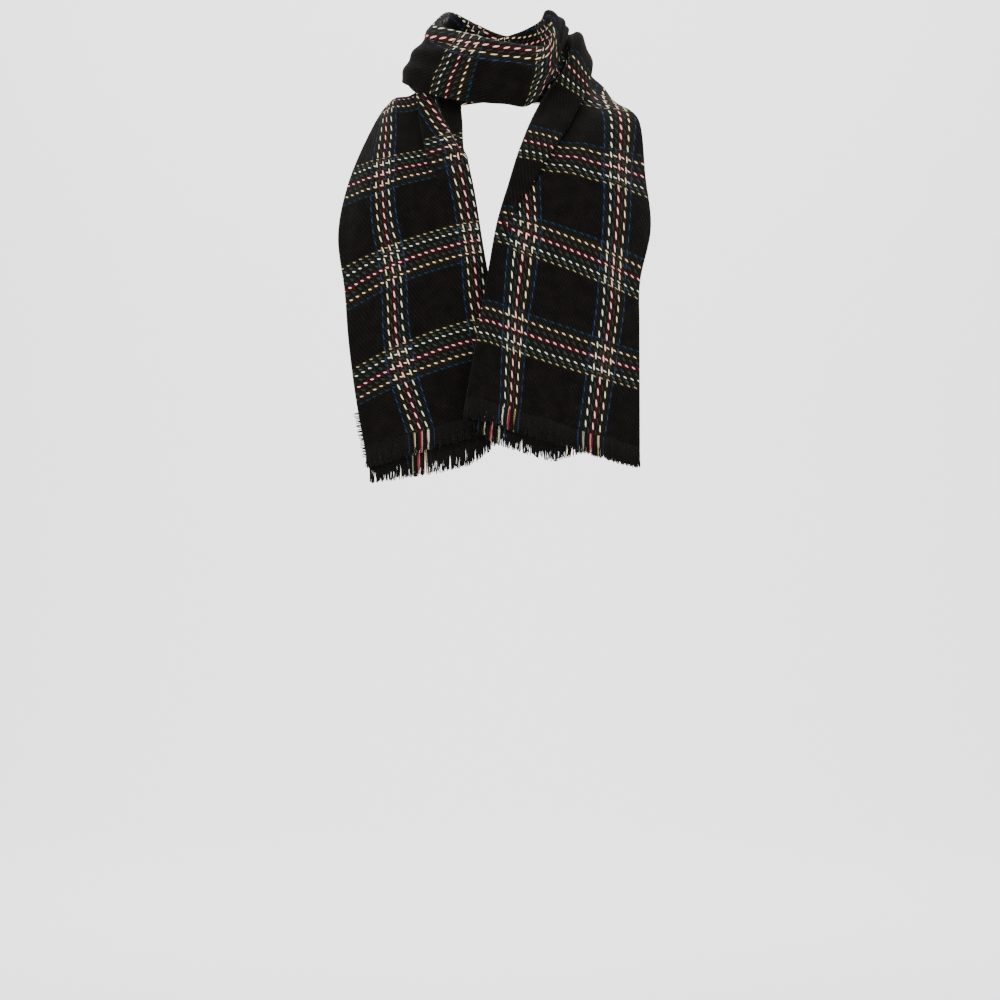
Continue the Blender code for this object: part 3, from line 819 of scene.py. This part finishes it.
def yarn_material():
    """Loose wool yarn, plied: it gives the eye matt, hairy cords with the ply's turns across them, and
    painted shade in the grooves between the turns.
    """
    material = bpy.data.materials.new("wool_yarn_plied")
    material.use_nodes = True
    tree = material.node_tree
    add = adder(tree)
    uv = add("ShaderNodeUVMap", uv_map="cloth")
    round_yarn, along_yarn, _ = add("ShaderNodeSeparateXYZ", {0: uv}).node.outputs
    turns = {0: along_yarn, 1: 1 / (PLY_TURN * MM), 2: round_yarn}
    ply = add("ShaderNodeMath", turns, operation="MULTIPLY_ADD")
    ply = add("ShaderNodeMath", {0: ply, 1: 2 * math.pi}, operation="MULTIPLY")
    ply = add("ShaderNodeMath", {0: ply}, operation="SINE")
    tint = add("ShaderNodeAttribute", attribute_name="yarn")
    # painted shade: the yarn's colour darkens to 0.55 in the grooves between the ply's turns
    ply_groove_shade = add("ShaderNodeMapRange", {0: ply, 1: -1.0, 2: 1.0, 3: 0.55, 4: 1.0})
    multiply = {"data_type": "RGBA", "blend_type": "MULTIPLY"}
    colour = add("ShaderNodeMix", {0: 1.0, 6: tint, 7: ply_groove_shade}, out=2, **multiply)
    bump = add("ShaderNodeBump", {"Height": ply, "Distance": 0.2 * MM})
    shader = tree.nodes["Principled BSDF"]
    tree.links.new(colour, shader.inputs["Base Color"])
    tree.links.new(bump, shader.inputs["Normal"])
    shader.inputs["Roughness"].default_value = 0.95
    shader.inputs["Specular IOR Level"].default_value = 0.06
    shader.inputs["Sheen Weight"].default_value = 0.03
    shader.inputs["Sheen Roughness"].default_value = 0.5
    return material


def add_stage():
    """Plain pale floor and backdrop well clear of the hanging ends, soft lights and the camera."""
    paint = bpy.data.materials.new("paper_matt")
    paint.use_nodes = True
    shader = paint.node_tree.nodes["Principled BSDF"]
    shader.inputs["Base Color"].default_value = linear("#fbfbfb")
    shader.inputs["Roughness"].default_value = 1.0
    level, reach, wide, bend = -1.35, 3.2, 9.0, 1.6
    profile = [(-7.0, level), (reach, level)]
    for i in range(1, 13):
        turn = math.pi / 2 * i / 12
        profile.append((reach + bend * math.sin(turn), level + bend * (1 - math.cos(turn))))
    profile.append((reach + bend, 7.0))
    corners = [(side * wide, y, z) for y, z in profile for side in (-1, 1)]
    cells = [(2 * i, 2 * i + 1, 2 * i + 3, 2 * i + 2) for i in range(len(profile) - 1)]
    sweep = bpy.data.meshes.new("sweep")
    sweep.from_pydata(corners, [], cells)
    sweep.materials.append(paint)
    sweep.shade_smooth()
    backdrop = bpy.data.objects.new("sweep", sweep)
    bpy.context.scene.collection.objects.link(backdrop)

    world = bpy.data.worlds.new("studio")
    world.use_nodes = True
    world.node_tree.nodes["Background"].inputs[0].default_value = linear("#ffffff")
    world.node_tree.nodes["Background"].inputs[1].default_value = 1.15
    bpy.context.scene.world = world
    for name, spot, aim, size, power in (
        ("key", (-1.6, -3.2, 2.0), (0, 0, -0.2), 2.2, 110),
        ("fill", (2.4, -2.6, 0.6), (0, 0, -0.2), 2.4, 50),
        ("rim", (0.4, 1.6, 2.2), (0, 0, 0), 1.6, 30),
        ("backdrop", (0, 1.5, 2.6), (0, 5.2, -0.6), 3.0, 260),
    ):
        data = bpy.data.lights.new(name, "AREA")
        data.energy = power
        data.size = size
        light = bpy.data.objects.new(name, data)
        light.location = spot
        direction = np.array(aim, float) - np.array(spot, float)
        yaw = math.atan2(direction[1], direction[0]) - math.pi / 2
        pitch = math.atan2(math.hypot(direction[0], direction[1]), -direction[2])
        light.rotation_euler = (pitch, 0, yaw)
        bpy.context.scene.collection.objects.link(light)

    data = bpy.data.cameras.new("camera")
    data.angle = 2 * math.atan(0.625 / 3.4)
    data.clip_end = 50
    camera = bpy.data.objects.new("camera", data)
    camera.location = (-0.00386, -3.5, -0.521)
    camera.rotation_euler = (math.radians(90), 0, 0)
    bpy.context.scene.collection.objects.link(camera)
    bpy.context.scene.camera = camera


def hem(along):
    """A hem's cut edge: points, directions away from the cloth, U, and extra yarn length."""
    points, forward, u, _ = cloth_row(along)
    if along > LENGTH / 2:
        return points, forward, u, np.zeros(len(u))
    back = np.arange(len(u)) / BACK_STEPS
    rate, end = LONGER_RUNOUT
    return points, -forward, u, LONGER_BEHIND * smoothstep(back) * smoothstep(rate * (end - back))


def side_edge(start, end):
    """The free long edge of the left end's back layer, with a U that no stripe group has."""
    points, away = [], []
    for along in np.linspace(start, end, SIDE_POINTS):
        row = cloth_row(along)[0]
        points.append(row[0])
        away.append(row[0] - row[2])
    between_groups = np.full(len(points), WARP_PERIOD / 2 * MM)
    return np.array(points), unit(np.array(away)), between_groups, np.zeros(len(points))


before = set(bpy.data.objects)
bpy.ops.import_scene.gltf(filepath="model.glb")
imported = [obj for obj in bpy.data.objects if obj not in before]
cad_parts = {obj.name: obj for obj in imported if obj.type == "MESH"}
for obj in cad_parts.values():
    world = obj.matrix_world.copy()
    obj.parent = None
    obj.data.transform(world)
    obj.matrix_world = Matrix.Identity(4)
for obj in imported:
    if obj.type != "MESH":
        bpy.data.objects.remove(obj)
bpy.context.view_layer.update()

twill = twill_material()
yarn = yarn_material()
cloth = build_cloth(twill)
left = build_fringe("left_hem_yarns", *hem(0.0), STRAND_LENGTH, 3, yarn)
right = build_fringe("right_hem_yarns", *hem(LENGTH), STRAND_LENGTH, 4, yarn)
side_length = (SIDE_FRINGE[2] * SIDE_SHORTEST, SIDE_FRINGE[2])
side_roots = side_edge(*SIDE_FRINGE[:2])
side = build_fringe(
    "left_side_yarns", *side_roots, side_length, 5, yarn, droop=SIDE_DROOP, pitch=SIDE_PITCH
)

for piece, slot, nodes in (
    (cloth, "cloth", ("left_end", "inner_turn", "neck_band", "outer_turn", "right_end")),
    (left, "fringe", ("left_fringe",)),
    (right, "fringe", ("right_fringe",)),
    (side, "fringe", ("side_fringe",)),
):
    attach(piece, "root")
    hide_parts(*nodes)
add_stage()
